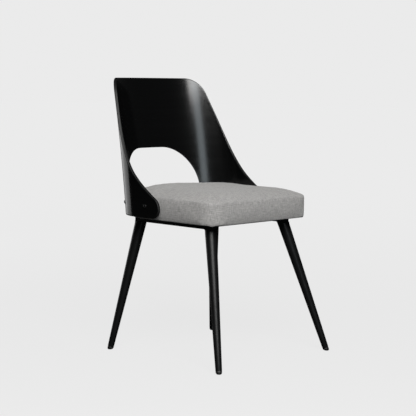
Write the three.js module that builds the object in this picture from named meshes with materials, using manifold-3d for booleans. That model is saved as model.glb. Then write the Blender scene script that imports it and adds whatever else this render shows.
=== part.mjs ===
// Dining chair: a bent plywood shell round an upholstered seat, on a steel frame with splayed legs.
// Units are millimetres. +Z is up, the chair faces -Y, and left is the sitter's left, +X.

import * as THREE from 'three';
import { mergeVertices } from 'three/addons/utils/BufferGeometryUtils.js';
import Module from 'manifold-3d';

const wasm = await Module();
wasm.setup();

// ---------------------------------------------------------------- driving dimensions

const GAP = 0.3; // between pieces that touch

// Back shell. Its section is straight sides, round corners and one wide arc across the back.
const SHELL_WIDTH = 478;
const SHELL_THICKNESS = 9;
const SHELL_HEIGHT = 402;
const SHELL_RISE = 5.1; // of its lower edge above the seat board's underside
const SIDE_END_Y = 111; // the straight sides end here
const SHELL_CORNER_RADIUS = 103;
const SHELL_REACH = 166.5; // from the end of the sides to the middle of the back
const LEAN_LOW = 6.3; // degrees from vertical at the bottom edge
const LEAN_HIGH = 11.8; // degrees from vertical at the top edge
const LEAN_RISE = 89; // above the lower edge, to the level at which the section's places are given

// Shell outline, laid flat: U runs round the shell from the middle of the back.
const TOP_HALF_WIDTH = 206; // to the point where the top edge and the wing edge would meet
const TOP_CORNER_RADIUS = 70;
const WING_ANGLE = 70.5; // of the wing's upper edge, degrees below level
const WING_STRAIGHT = 102; // length of its straight run
const WING_PULLS = [0.455, 0.425]; // how long the curve below it follows its two ends
const WING_TIP_Y = 16; // foremost point of each wing, at the lean level
const WING_TIP_RADIUS = 31.5;
const WING_TIP_TURN = 56; // degrees above level at which the lobe begins

// D-shaped cut-out, laid flat. Its rises are above the shell's lower edge.
const HOLE_TOP_RISE = 186;
const HOLE_WAIST_RISE = 49; // to its widest level
const HOLE_FOOT_RISE = 37;
const HOLE_HALF_WIDTH = 173;
const HOLE_HALF_FLAT = 50; // half of the straight upper edge
const HOLE_FOOT_RADIUS = 40; // how far the lower corners reach inwards

// Seat.
const SEAT_BOTTOM = 405.9; // underside of the seat board
const SEAT_FRONT_Y = -189;
const SEAT_CORNER_RADIUS = 56; // front corners, seen from above
const SEAT_SIDE = 64.1; // from the board's underside up to the edge where the sides meet the top
const SEAT_HEIGHT = 94.1; // from the board's underside up to the middle of the top
const SEAT_EDGE_ROUND = 7; // height of the soft edge below the crease
const SEAT_EDGE_DRAW = 0.97; // width at the crease, as a share of the width below it
const SEAT_CLEARANCE = 8; // between the cover and the shell
const COVER_THICKNESS = 1.2;
const COVER_HEM = 32; // turned under the board
const BOARD_THICKNESS = 12;
const BOARD_INSET = 14; // from the cover's outer face
const DUST_THICKNESS = 0.8;
const DUST_INSET = 20; // from the cover's outer face

// Mounting blocks, which the shell bolts reach.
const BLOCK_LENGTH = 60;
const BLOCK_DEPTH = 22;
const BLOCK_HEIGHT = 40;
const BLOCK_INSET = 14; // from the cover's outer face
const FRONT_BOLT_Y = 63;
const REAR_BOLT_U = 211;
const SHELL_BOLT_RISE = 39.1; // above the seat board's underside

// Steel frame.
const RAIL_SPAN = 321; // between the side rails' centre lines
const RAIL_WIDTH = 30;
const RAIL_HEIGHT = 14;
const RAIL_WALL = 1.5;
const RAIL_CORNER = 2;
const FRONT_LEG_Y = -125;
const REAR_LEG_Y = 158;
const RAIL_OVERHANG = 8; // past the leg's centre line
const CROSS_RAIL_INSET = 45; // from a leg's centre line to a cross rail's
const CAP_FLANGE = 1.5;
const CAP_PLUG = 9;

// Legs and glides.
const FRONT_FOOT_SPAN = 484;
const FRONT_FOOT_Y = -240;
const REAR_FOOT_SPAN = 454;
const REAR_FOOT_Y = 217;
const LEG_TOP_RADIUS = 17.2;
const LEG_FOOT_RADIUS = 9.1;
const LEG_WALL = 1.6;
const GLIDE_HEIGHT = 9;
const GLIDE_STEM = 14;
const GLIDE_CHAMFER = 2.5;
const GLIDE_SEAT = 0.4; // gap above a glide that is driven home
const LOOSE_GLIDE_SEAT = 1.2; // gap above the glide that stands proud
const LOOSE_GLIDE = 'front_left';

// Fasteners.
const BOLT_RADIUS = 3;
const BOLT_HEAD_LIP = 3; // the head, past the shank
const BOLT_HEAD_HEIGHT = 3.2;
const BOLT_PLAY = 0.4; // radial room round a bolt
const BOLT_TIP_ROOM = 2; // from a bolt's end to the end of its insert
const INSERT_WALL = 1.6;
const INSERT_LENGTH = 13;
const TEE_BARREL_WALL = 1.2;
const TEE_BARREL_LENGTH = 8.4;
const TEE_FLANGE_LIP = 4.8; // the flange, past the barrel
const TEE_FLANGE_THICKNESS = 1.2;
const SEAT_BOLT_INSET = 75; // from a leg's centre line, along the rail
const SCREW_RADIUS = 2;
const SCREW_LENGTH = 34;
const SCREW_HEAD_EDGE = 0.5; // thickness of the head's rim
const SCREW_POINT = 5;

// ---------------------------------------------------------------- materials

const FINISHES = {
  lacquered_ply: { color: 0x0a0a0b, roughness: 0.35, metalness: 0 },
  fabric: { color: 0x8d8c89, roughness: 0.95, metalness: 0 },
  foam: { color: 0xe6dfb8, roughness: 1, metalness: 0 },
  raw_ply: { color: 0xc9a878, roughness: 0.8, metalness: 0 },
  black_steel: { color: 0x0c0c0d, roughness: 0.45, metalness: 0.4 },
  black_plastic: { color: 0x101010, roughness: 0.5, metalness: 0 },
  black_cloth: { color: 0x151515, roughness: 1, metalness: 0 },
  zinc: { color: 0xa9adb0, roughness: 0.4, metalness: 0.9 },
};

// ---------------------------------------------------------------- geometry helpers

const radians = THREE.MathUtils.degToRad;
const point = (x, y, z) => new THREE.Vector3(x, y, z);

function mergedPositions(geometry) {
  const bare = geometry.clone();
  bare.deleteAttribute('normal');
  bare.deleteAttribute('uv');
  return mergeVertices(bare, 1e-4);
}

function toSolid(geometry) {
  const merged = mergedPositions(geometry);
  const vertProperties = new Float32Array(merged.attributes.position.array);
  const triVerts = new Uint32Array(merged.index.array);
  return new wasm.Manifold(new wasm.Mesh({ numProp: 3, vertProperties, triVerts }));
}

function toGeometry(solid) {
  const mesh = solid.getMesh();
  const geometry = new THREE.BufferGeometry();
  geometry.setAttribute('position', new THREE.BufferAttribute(mesh.vertProperties, 3));
  geometry.setIndex(new THREE.BufferAttribute(mesh.triVerts, 1));
  geometry.computeVertexNormals();
  return geometry;
}

function cut(geometry, tools) {
  return toGeometry(tools.reduce((solid, tool) => solid.subtract(toSolid(tool)), toSolid(geometry)));
}

function keepInside(geometry, region) {
  return toGeometry(toSolid(geometry).intersect(toSolid(region)));
}

// A turned piece: profile points are [radius, height], from the bottom up. Small round pieces and
// their holes have equally many sides, so that facets face facets.
const ROUND_SIDES = 12;

function turned(profile, sides = ROUND_SIDES) {
  const points = profile.map(([radius, height]) => new THREE.Vector2(radius, height));
  return new THREE.LatheGeometry(points, sides).rotateX(Math.PI / 2);
}

function rod(radius, from, to) {
  return turned([[0, from], [radius, from], [radius, to], [0, to]]);
}

function sleeve(outer, inner, from, to) {
  return turned([[inner, from], [outer, from], [outer, to], [inner, to], [inner, from]]);
}

function slab(from, to, reach = 2000) {
  const box = new THREE.BoxGeometry(reach, reach, to - from);
  return box.translate(0, 0, (from + to) / 2);
}

function roundedRectangle(width, height, radius) {
  const [x, y] = [width / 2 - radius, height / 2 - radius];
  const shape = new THREE.Shape();
  shape.absarc(x, y, radius, 0, Math.PI / 2);
  shape.absarc(-x, y, radius, Math.PI / 2, Math.PI);
  shape.absarc(-x, -y, radius, Math.PI, Math.PI * 1.5);
  shape.absarc(x, -y, radius, Math.PI * 1.5, Math.PI * 2);
  shape.closePath();
  return shape;
}

// The matrix that stands a piece made along +Z at a place, with +Z turned to a direction.
function standing(place, direction) {
  const turn = new THREE.Quaternion().setFromUnitVectors(point(0, 0, 1), direction.clone().normalize());
  return new THREE.Matrix4().compose(place, turn, point(1, 1, 1));
}

// Rings of equally many points, joined into one closed skin with a fan at each end.
function loft(rings) {
  const count = rings[0].length;
  const positions = rings.flat().flatMap((p) => p.toArray());
  const index = [];
  const addFan = (ring, first, upwards) => {
    const middle = ring.reduce((sum, p) => sum.add(p), point(0, 0, 0)).divideScalar(count);
    const tip = positions.length / 3;
    positions.push(...middle.toArray());
    for (let i = 0; i < count; i += 1) {
      const edge = [first + i, first + ((i + 1) % count)];
      index.push(...(upwards ? edge : edge.reverse()), tip);
    }
  };
  for (let r = 0; r + 1 < rings.length; r += 1) {
    for (let i = 0; i < count; i += 1) {
      const [a, b] = [r * count + i, r * count + ((i + 1) % count)];
      index.push(a, b, b + count, a, b + count, a + count);
    }
  }
  addFan(rings[0], 0, false);
  addFan(rings.at(-1), (rings.length - 1) * count, true);
  const geometry = new THREE.BufferGeometry();
  geometry.setAttribute('position', new THREE.Float32BufferAttribute(positions, 3));
  geometry.setIndex(index);
  return geometry;
}

// ---------------------------------------------------------------- heights that follow the seat

const shellBottom = SEAT_BOTTOM + SHELL_RISE;
const shellTop = shellBottom + SHELL_HEIGHT;
const leanLevel = shellBottom + LEAN_RISE;
const cutOutTop = shellBottom + HOLE_TOP_RISE;
const cutOutWaist = shellBottom + HOLE_WAIST_RISE;
const cutOutFoot = shellBottom + HOLE_FOOT_RISE;
const seatCrease = SEAT_BOTTOM + SEAT_SIDE;
const seatCrown = SEAT_BOTTOM + SEAT_HEIGHT;
const shellBoltZ = SEAT_BOTTOM + SHELL_BOLT_RISE;

// ---------------------------------------------------------------- shell section

const cornerX = SHELL_WIDTH / 2 - SHELL_CORNER_RADIUS;
const backRadius = (cornerX ** 2 + SHELL_REACH ** 2 - SHELL_CORNER_RADIUS ** 2)
  / (2 * (SHELL_REACH - SHELL_CORNER_RADIUS));
const backCentreY = SIDE_END_Y + SHELL_REACH - backRadius;
const backTurn = Math.asin(cornerX / (backRadius - SHELL_CORNER_RADIUS));
const backLength = backRadius * backTurn;
const cornerLength = SHELL_CORNER_RADIUS * (Math.PI / 2 - backTurn);
const sideStartU = backLength + cornerLength;

// Place and outward normal of the outer face at a distance U round the section.
function section(u) {
  const side = Math.sign(u) || 1;
  const run = Math.abs(u);
  if (run > sideStartU) {
    return { x: side * SHELL_WIDTH / 2, y: SIDE_END_Y - (run - sideStartU), nx: side, ny: 0 };
  }
  const onBack = run < backLength;
  const turn = onBack ? run / backRadius : backTurn + (run - backLength) / SHELL_CORNER_RADIUS;
  const [nx, ny] = [side * Math.sin(turn), Math.cos(turn)];
  const radius = onBack ? backRadius : SHELL_CORNER_RADIUS;
  const [cx, cy] = onBack ? [0, backCentreY] : [side * cornerX, SIDE_END_Y];
  return { x: cx + radius * nx, y: cy + radius * ny, nx, ny };
}

// How far back the shell stands at a height: its slope grows evenly from bottom to top.
const slopeLow = Math.tan(radians(LEAN_LOW));
const slopeGrowth = (Math.tan(radians(LEAN_HIGH)) - slopeLow) / (shellTop - shellBottom);
const slope = (z) => slopeLow + slopeGrowth * (z - shellBottom);
const lean = (z) => ((slope(z) + slope(leanLevel)) / 2) * (z - leanLevel);

function bend(u, z, depth = 0) {
  const { x, y, nx, ny } = section(u);
  return point(x - nx * depth, y - ny * depth + lean(z), z);
}

// ---------------------------------------------------------------- back shell

const tipU = sideStartU + SIDE_END_Y - WING_TIP_Y;
const tipZ = shellBottom + WING_TIP_RADIUS;
const CENTRE_COLUMNS = 12;
const WING_COLUMNS = 34;
const UPPER_ROWS = 4;
const LOWER_ROWS = 2;

const wingTurn = radians(WING_ANGLE);
const fillet = TOP_CORNER_RADIUS * Math.tan(wingTurn / 2);
const topEnd = TOP_HALF_WIDTH - fillet; // the level top edge ends here and its corner begins

// Height of the sheet's upper edge, on its level run and on the first part of its corner.
function topLevel(u) {
  const past = Math.max(0, u - topEnd);
  return shellTop - TOP_CORNER_RADIUS + Math.sqrt(TOP_CORNER_RADIUS ** 2 - past ** 2);
}

// The wing's upper edge, from above the cut-out's side round the top corner and down to the tip.
function wingTopEdge() {
  const down = new THREE.Vector2(Math.cos(wingTurn), -Math.sin(wingTurn));
  const apex = new THREE.Vector2(TOP_HALF_WIDTH, shellTop);
  const straightEnd = apex.clone().addScaledVector(down, WING_STRAIGHT + fillet);
  const lobe = new THREE.Vector2(tipU - WING_TIP_RADIUS, tipZ);
  const turn = radians(WING_TIP_TURN);
  const lobeStart = lobe.clone();
  lobeStart.add(new THREE.Vector2(Math.cos(turn), Math.sin(turn)).multiplyScalar(WING_TIP_RADIUS));
  const span = straightEnd.distanceTo(lobeStart);
  const first = straightEnd.clone().addScaledVector(down, span * WING_PULLS[0]);
  const arrive = new THREE.Vector2(Math.sin(turn), -Math.cos(turn));
  const second = lobeStart.clone().addScaledVector(arrive, -span * WING_PULLS[1]);
  const edge = new THREE.Path();
  const start = Math.max(topEnd, HOLE_HALF_WIDTH);
  edge.moveTo(HOLE_HALF_WIDTH, topLevel(HOLE_HALF_WIDTH));
  edge.lineTo(start, topLevel(start));
  edge.absarc(topEnd, shellTop - TOP_CORNER_RADIUS, TOP_CORNER_RADIUS,
    Math.acos((start - topEnd) / TOP_CORNER_RADIUS), Math.PI / 2 - wingTurn, true);
  edge.lineTo(straightEnd.x, straightEnd.y);
  edge.bezierCurveTo(first.x, first.y, second.x, second.y, lobeStart.x, lobeStart.y);
  edge.absarc(lobe.x, lobe.y, WING_TIP_RADIUS, turn, 0, true);
  return edge.getSpacedPoints(WING_COLUMNS);
}

function wingBottomEdge() {
  const edge = new THREE.Path();
  edge.moveTo(HOLE_HALF_WIDTH, shellBottom);
  edge.lineTo(tipU - WING_TIP_RADIUS, shellBottom);
  edge.absarc(tipU - WING_TIP_RADIUS, tipZ, WING_TIP_RADIUS, -Math.PI / 2, 0, false);
  return edge.getSpacedPoints(WING_COLUMNS);
}

// Height of a quarter-round edge that is level up to `flat` and turns to meet `waist` at `reach`.
function quarter(u, flat, reach, level, waist) {
  const past = Math.max(0, (u - flat) / (reach - flat));
  return waist + (level - waist) * Math.sqrt(Math.max(0, 1 - past * past));
}

// Half of the flat sheet as quads of [u, z] corners, in bands between two matching edges.
function halfSheet() {
  const quads = [];
  const addBand = (lower, upper, rows) => {
    const at = (i, j) => lower[i].clone().lerp(upper[i], j / rows);
    for (let i = 0; i + 1 < lower.length; i += 1) {
      for (let j = 0; j < rows; j += 1) {
        quads.push([at(i, j), at(i + 1, j), at(i + 1, j + 1), at(i, j + 1)]);
      }
    }
  };
  const columns = Array.from({ length: CENTRE_COLUMNS + 1 }, (_, i) => (
    HOLE_HALF_WIDTH * Math.sin((Math.PI / 2) * (i / CENTRE_COLUMNS))));
  const along = (height) => columns.map((u) => new THREE.Vector2(u, height(u)));
  const holeTop = (u) => quarter(u, HOLE_HALF_FLAT, HOLE_HALF_WIDTH, cutOutTop, cutOutWaist);
  const footStart = HOLE_HALF_WIDTH - HOLE_FOOT_RADIUS;
  const holeBottom = (u) => quarter(u, footStart, HOLE_HALF_WIDTH, cutOutFoot, cutOutWaist);
  addBand(along(holeTop), along(topLevel), UPPER_ROWS);
  addBand(along(() => shellBottom), along(holeBottom), LOWER_ROWS);
  const middle = new THREE.LineCurve(new THREE.Vector2(HOLE_HALF_WIDTH, cutOutWaist),
    new THREE.Vector2(tipU, tipZ)).getSpacedPoints(WING_COLUMNS);
  addBand(middle, wingTopEdge(), UPPER_ROWS);
  addBand(wingBottomEdge(), middle, LOWER_ROWS);
  return quads;
}

// The bent plate: both faces of the flat sheet, with a wall along every free edge.
function bentPlate() {
  const corners = new Map();
  const flat = [];
  const cornerIndex = (u, z) => {
    const key = `${u.toFixed(3)},${z.toFixed(3)}`;
    if (!corners.has(key)) {
      corners.set(key, flat.length);
      flat.push([u, z]);
    }
    return corners.get(key);
  };
  const triangles = [];
  const addTriangle = (a, b, c) => {
    if (a !== b && b !== c && c !== a) triangles.push([a, b, c]);
  };
  for (const quad of halfSheet()) {
    const right = quad.map((p) => cornerIndex(p.x, p.y));
    const left = quad.map((p) => cornerIndex(0 - p.x, p.y)).reverse();
    for (const [a, b, c, d] of [right, left]) {
      addTriangle(a, b, c);
      addTriangle(a, c, d);
    }
  }
  const edges = new Set(triangles.flatMap(([a, b, c]) => [`${a},${b}`, `${b},${c}`, `${c},${a}`]));
  const inner = flat.length;
  const index = [];
  for (const [a, b, c] of triangles) {
    index.push(c, b, a, a + inner, b + inner, c + inner);
    for (const [from, to] of [[a, b], [b, c], [c, a]]) {
      if (!edges.has(`${to},${from}`)) index.push(from, to, to + inner, from, to + inner, from + inner);
    }
  }
  const outerFace = flat.map(([u, z]) => bend(u, z));
  const innerFace = flat.map(([u, z]) => bend(u, z, SHELL_THICKNESS));
  const geometry = new THREE.BufferGeometry();
  const positions = [...outerFace, ...innerFace].flatMap((p) => p.toArray());
  geometry.setAttribute('position', new THREE.Float32BufferAttribute(positions, 3));
  geometry.setIndex(index);
  return geometry;
}

// ---------------------------------------------------------------- bolt places

const SIDES = { left: 1, right: -1 };
const ENDS = ['front', 'rear'];
const corners = Object.keys(SIDES).flatMap((side) => ENDS.map((end) => ({
  name: `${end}_${side}`, side: SIDES[side], end,
})));

// Place on the shell's outer face and the way out of it, for the bolt at each corner.
function boltPlace({ side, end }) {
  const frontY = FRONT_BOLT_Y - lean(shellBoltZ);
  const u = side * (end === 'front' ? sideStartU + SIDE_END_Y - frontY : REAR_BOLT_U);
  const { nx, ny } = section(u);
  const out = point(nx, ny, -ny * slope(shellBoltZ)).normalize();
  return { place: bend(u, shellBoltZ), out };
}

function boltHole(corner, radius) {
  const { place, out } = boltPlace(corner);
  const reach = SHELL_THICKNESS + 2 * BLOCK_DEPTH;
  return rod(radius, -reach, reach).applyMatrix4(standing(place, out));
}

function backShell() {
  return cut(bentPlate(), corners.map((corner) => boltHole(corner, BOLT_RADIUS + BOLT_PLAY)));
}

// ---------------------------------------------------------------- seat

// The cover stands clear of the shell at its lowest, foremost level.
const coverOffset = SHELL_THICKNESS + SEAT_CLEARANCE;
const seatLean = lean(shellBottom);
const ARC_STEPS = 6;

// The seat's outline seen from above, moved in by an inset, as points anticlockwise.
function seatOutline(inset) {
  const shift = coverOffset + inset;
  const halfWidth = SHELL_WIDTH / 2 - shift;
  const frontRadius = Math.max(SEAT_CORNER_RADIUS - inset, 2);
  const frontX = halfWidth - frontRadius;
  const frontY = SEAT_FRONT_Y + inset + frontRadius;
  const shellY = SIDE_END_Y + seatLean;
  const arc = (cx, cy, radius, from, to, steps) => Array.from({ length: steps + 1 }, (_, i) => {
    const angle = from + ((to - from) * i) / steps;
    return new THREE.Vector2(cx + radius * Math.cos(angle), cy + radius * Math.sin(angle));
  });
  const quarterTurn = Math.PI / 2;
  const cornerRadius = SHELL_CORNER_RADIUS - shift;
  return [
    ...arc(frontX, frontY, frontRadius, -quarterTurn, 0, ARC_STEPS),
    ...arc(cornerX, shellY, cornerRadius, 0, quarterTurn - backTurn, 3),
    ...arc(0, backCentreY + seatLean, backRadius - shift, quarterTurn - backTurn,
      quarterTurn + backTurn, 2 * ARC_STEPS).slice(1, -1),
    ...arc(-cornerX, shellY, cornerRadius, quarterTurn + backTurn, Math.PI, 3),
    ...arc(-frontX, frontY, frontRadius, Math.PI, 3 * quarterTurn, ARC_STEPS),
  ];
}

function seatRing(outline, scale, z) {
  const middleY = (Math.min(...outline.map((p) => p.y)) + Math.max(...outline.map((p) => p.y))) / 2;
  return outline.map((p) => point(p.x * scale, middleY + (p.y - middleY) * scale, z));
}

function prism(inset, from, to) {
  const outline = seatOutline(inset);
  return loft([seatRing(outline, 1, from), seatRing(outline, 1, to)]);
}

// A crowned pad: upright sides, a soft edge at the crease, and a top that rises to its middle.
function crownedPad(inset, from) {
  const outline = seatOutline(inset);
  const crease = seatCrease - inset;
  const softEdge = [0, 0.5, 1].map((share) => (
    [1 - (1 - SEAT_EDGE_DRAW) * share ** 2, crease - SEAT_EDGE_ROUND * (1 - share)]));
  const top = [0.9, 0.78, 0.5].map((scale) => (
    [scale, crease + (seatCrown - seatCrease) * (1 - (scale / SEAT_EDGE_DRAW) ** 4)]));
  return loft([[1, from], ...softEdge, ...top].map(([scale, z]) => seatRing(outline, scale, z)));
}

const insertRadius = BOLT_RADIUS + INSERT_WALL;
const teeBarrelRadius = BOLT_RADIUS + TEE_BARREL_WALL;
const teeFlangeRadius = teeBarrelRadius + TEE_FLANGE_LIP;
const boltHeadRadius = BOLT_RADIUS + BOLT_HEAD_LIP;
const boardTop = SEAT_BOTTOM + BOARD_THICKNESS;
const coverInside = SEAT_BOTTOM - GAP;
const coverBottom = coverInside - COVER_THICKNESS;
const blockBottom = boardTop + GAP;
const railTop = coverBottom - 2 * GAP - DUST_THICKNESS;
const railBottom = railTop - RAIL_HEIGHT;

function seatCover() {
  const inside = crownedPad(COVER_THICKNESS, coverInside);
  const opening = prism(COVER_HEM, coverBottom - 5, coverInside + 5);
  const holes = corners.map((corner) => boltHole(corner, BOLT_RADIUS + BOLT_PLAY));
  return cut(crownedPad(0, coverBottom), [inside, opening, ...holes]);
}

function seatFoam() {
  const upper = crownedPad(COVER_THICKNESS + GAP, boardTop + GAP);
  const pockets = corners.map((corner) => mountingBlock(corner, GAP));
  const nuts = seatBoltPlaces().map(({ x, y }) => (
    rod(teeFlangeRadius + GAP, boardTop, boardTop + TEE_FLANGE_THICKNESS + 3 * GAP).translate(x, y, 0)));
  const holes = corners.map((corner) => boltHole(corner, BOLT_RADIUS + BOLT_PLAY));
  return cut(upper, [...pockets, ...nuts, ...holes]);
}

function seatBoard() {
  const seatHoles = seatBoltPlaces().map(({ x, y }) => (
    rod(teeBarrelRadius + GAP, SEAT_BOTTOM - 5, boardTop + 5).translate(x, y, 0)));
  const screwHoles = corners.map((corner) => blockScrew(GAP).applyMatrix4(screwFrame(corner)));
  return cut(prism(BOARD_INSET, SEAT_BOTTOM, boardTop), [...seatHoles, ...screwHoles]);
}

function dustCover() {
  const holes = seatBoltPlaces().map(({ x, y }) => (
    rod(BOLT_RADIUS + BOLT_PLAY, railTop, coverBottom).translate(x, y, 0)));
  return cut(prism(DUST_INSET, railTop + GAP, railTop + GAP + DUST_THICKNESS), holes);
}

// ---------------------------------------------------------------- mounting blocks

// The frame of a block: +Z out of the shell, its origin on the block's outer face.
function blockFrame(corner) {
  const { place, out } = boltPlace(corner);
  const depth = coverOffset + BLOCK_INSET + (out.y * (lean(shellBoltZ) - seatLean));
  return standing(place.clone().addScaledVector(out, -depth), out);
}

function mountingBlock(corner, grow = 0) {
  const { out } = boltPlace(corner);
  const origin = point(0, 0, 0).applyMatrix4(blockFrame(corner));
  const height = BLOCK_HEIGHT + 2 * grow;
  const box = new THREE.BoxGeometry(BLOCK_DEPTH + 2 * grow, BLOCK_LENGTH + 2 * grow, height);
  box.translate(-BLOCK_DEPTH / 2, 0, blockBottom - grow + height / 2);
  box.rotateZ(Math.atan2(out.y, out.x));
  return box.translate(origin.x, origin.y, 0);
}

function drilledBlock(corner) {
  const bore = rod(insertRadius + GAP, -BLOCK_DEPTH - 5, 5).applyMatrix4(blockFrame(corner));
  const pilot = blockScrew(GAP).applyMatrix4(screwFrame(corner));
  return cut(mountingBlock(corner), [bore, pilot]);
}

function insert() {
  return sleeve(insertRadius, BOLT_RADIUS + GAP, -INSERT_LENGTH, -GAP);
}

// A countersunk screw up through the board, beside the bolt's bore.
function blockScrew(grow = 0) {
  const head = SCREW_RADIUS * 2;
  return turned([
    [0, -grow], [head + grow, -grow], [head + grow, SCREW_HEAD_EDGE],
    [SCREW_RADIUS + grow, SCREW_HEAD_EDGE + SCREW_RADIUS],
    [SCREW_RADIUS + grow, SCREW_LENGTH - SCREW_POINT], [0, SCREW_LENGTH + grow],
  ]);
}

function screwFrame(corner) {
  const { out } = boltPlace(corner);
  const along = point(-out.y, out.x, 0).setLength(BLOCK_LENGTH / 4);
  const middle = point(0, 0, -BLOCK_DEPTH / 2).applyMatrix4(blockFrame(corner)).add(along);
  return new THREE.Matrix4().makeTranslation(middle.x, middle.y, SEAT_BOTTOM);
}

// ---------------------------------------------------------------- fasteners

// A domed head with a socket, outside the shell, and a shank that ends in the block's insert.
function shellBolt() {
  const length = coverOffset + BLOCK_INSET + INSERT_LENGTH - BOLT_TIP_ROOM;
  const [radius, height] = [boltHeadRadius, BOLT_HEAD_HEIGHT];
  const socket = radius * 0.42;
  return turned([
    [0, -length], [BOLT_RADIUS, -length], [BOLT_RADIUS, GAP], [radius, GAP], [radius * 0.96, height * 0.4],
    [radius * 0.78, height * 0.78], [radius * 0.5, height], [socket, height], [socket, height * 0.4],
    [0, height * 0.4],
  ]);
}

// Its head is inside the rail, under the upper wall, and the shank ends in the tee nut.
function seatBolt() {
  const length = boardTop - BOLT_TIP_ROOM - (railTop - RAIL_WALL);
  return turned([
    [0, -BOLT_HEAD_HEIGHT], [boltHeadRadius, -BOLT_HEAD_HEIGHT], [boltHeadRadius, -GAP],
    [BOLT_RADIUS, -GAP], [BOLT_RADIUS, length], [0, length],
  ]);
}

function teeNut() {
  const [bore, top] = [BOLT_RADIUS + GAP, GAP + TEE_FLANGE_THICKNESS];
  return turned([
    [bore, -TEE_BARREL_LENGTH], [teeBarrelRadius, -TEE_BARREL_LENGTH], [teeBarrelRadius, GAP],
    [teeFlangeRadius, GAP], [teeFlangeRadius, top], [bore, top], [bore, -TEE_BARREL_LENGTH],
  ]);
}

function seatBoltPlaces() {
  return corners.map(({ name, side, end }) => ({
    name,
    x: (side * RAIL_SPAN) / 2,
    y: end === 'front' ? FRONT_LEG_Y + SEAT_BOLT_INSET : REAR_LEG_Y - SEAT_BOLT_INSET,
  }));
}

// ---------------------------------------------------------------- steel frame

// A square-cut rectangular tube along +Y, open at both ends.
function tube(from, to) {
  const shape = roundedRectangle(RAIL_WIDTH, RAIL_HEIGHT, RAIL_CORNER);
  const [width, height] = [RAIL_WIDTH - 2 * RAIL_WALL, RAIL_HEIGHT - 2 * RAIL_WALL];
  shape.holes.push(roundedRectangle(width, height, RAIL_CORNER / 2));
  const solid = new THREE.ExtrudeGeometry(shape, { depth: to - from, bevelEnabled: false, curveSegments: 2 });
  return solid.rotateX(-Math.PI / 2).translate(0, from, 0);
}

const railFrontY = FRONT_LEG_Y - RAIL_OVERHANG;
const railRearY = REAR_LEG_Y + RAIL_OVERHANG;
const railMiddleZ = railTop - RAIL_HEIGHT / 2;

// Each seat bolt goes up through an access hole below and a bolt hole above.
function sideRail(side) {
  const x = (side * RAIL_SPAN) / 2;
  const holes = seatBoltPlaces().filter((place) => place.x === x).flatMap(({ y }) => [
    rod(BOLT_RADIUS + BOLT_PLAY, 0, RAIL_HEIGHT).translate(0, y, 0),
    rod(boltHeadRadius + BOLT_PLAY, -RAIL_HEIGHT, 0).translate(0, y, 0),
  ]);
  return cut(tube(railFrontY, railRearY), holes);
}

function crossRail() {
  const reach = (RAIL_SPAN - RAIL_WIDTH) / 2 - GAP;
  return tube(-reach, reach).rotateZ(Math.PI / 2);
}

// A cap that plugs a rail's end: its flange covers the tube and its plug fits the bore.
function railCap() {
  const flange = roundedRectangle(RAIL_WIDTH, RAIL_HEIGHT, RAIL_CORNER);
  const inside = 2 * (RAIL_WALL + GAP);
  const plug = roundedRectangle(RAIL_WIDTH - inside, RAIL_HEIGHT - inside, RAIL_CORNER / 2);
  const options = { bevelEnabled: false, curveSegments: 2 };
  const outer = new THREE.ExtrudeGeometry(flange, { ...options, depth: CAP_FLANGE }).translate(0, 0, GAP);
  const inner = new THREE.ExtrudeGeometry(plug, { ...options, depth: CAP_PLUG + GAP + 1 });
  return toGeometry(toSolid(outer).add(toSolid(inner.translate(0, 0, -CAP_PLUG))));
}

// ---------------------------------------------------------------- legs and glides

const LEG_SIDES = 20;

// A leg's line: its foot on the floor and its axis, which meets the underside of a rail.
function legLine({ side, end }) {
  const front = end === 'front';
  const span = front ? FRONT_FOOT_SPAN : REAR_FOOT_SPAN;
  const foot = point((side * span) / 2, front ? FRONT_FOOT_Y : REAR_FOOT_Y, 0);
  const top = point((side * RAIL_SPAN) / 2, front ? FRONT_LEG_Y : REAR_LEG_Y, railBottom);
  return { foot, axis: top.clone().sub(foot).normalize(), length: top.distanceTo(foot) };
}

function glideSeat(corner) {
  return corner.name === LOOSE_GLIDE ? LOOSE_GLIDE_SEAT : GLIDE_SEAT;
}

// A tapered steel tube, trimmed level under the rail.
function leg(corner) {
  const { foot, axis, length } = legLine(corner);
  const start = GLIDE_HEIGHT + glideSeat(corner);
  const growth = (LEG_TOP_RADIUS - LEG_FOOT_RADIUS) / length;
  const end = length + LEG_TOP_RADIUS;
  const radius = (distance) => LEG_FOOT_RADIUS + growth * distance;
  const wall = turned([
    [radius(start) - LEG_WALL, start], [radius(start), start], [radius(end), end],
    [radius(end) - LEG_WALL, end], [radius(start) - LEG_WALL, start],
  ], LEG_SIDES);
  return keepInside(wall.applyMatrix4(standing(foot, axis)), slab(0, railBottom - GAP));
}

// A glide: a foot as wide as the leg, cut level by the floor, with a stem that plugs the tube.
function glide(corner) {
  const { foot, axis } = legLine(corner);
  const stem = LEG_FOOT_RADIUS - LEG_WALL - GAP;
  const top = GLIDE_HEIGHT + GLIDE_STEM;
  const body = turned([
    [0, -LEG_FOOT_RADIUS], [LEG_FOOT_RADIUS * 0.75, -LEG_FOOT_RADIUS], [LEG_FOOT_RADIUS, GLIDE_CHAMFER],
    [LEG_FOOT_RADIUS, GLIDE_HEIGHT], [stem, GLIDE_HEIGHT], [stem, top - GLIDE_CHAMFER],
    [stem - GLIDE_CHAMFER, top], [0, top],
  ], LEG_SIDES);
  return keepInside(body.applyMatrix4(standing(foot, axis)), slab(0, SEAT_BOTTOM));
}

// ---------------------------------------------------------------- assembly

const chair = new THREE.Group();

function addPart(name, geometry, finish, matrix) {
  const mesh = new THREE.Mesh(geometry, new THREE.MeshStandardMaterial(FINISHES[finish]));
  mesh.name = name;
  if (matrix) matrix.decompose(mesh.position, mesh.quaternion, mesh.scale);
  chair.add(mesh);
}

function at(x, y, z) {
  return new THREE.Matrix4().makeTranslation(x, y, z);
}

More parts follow.
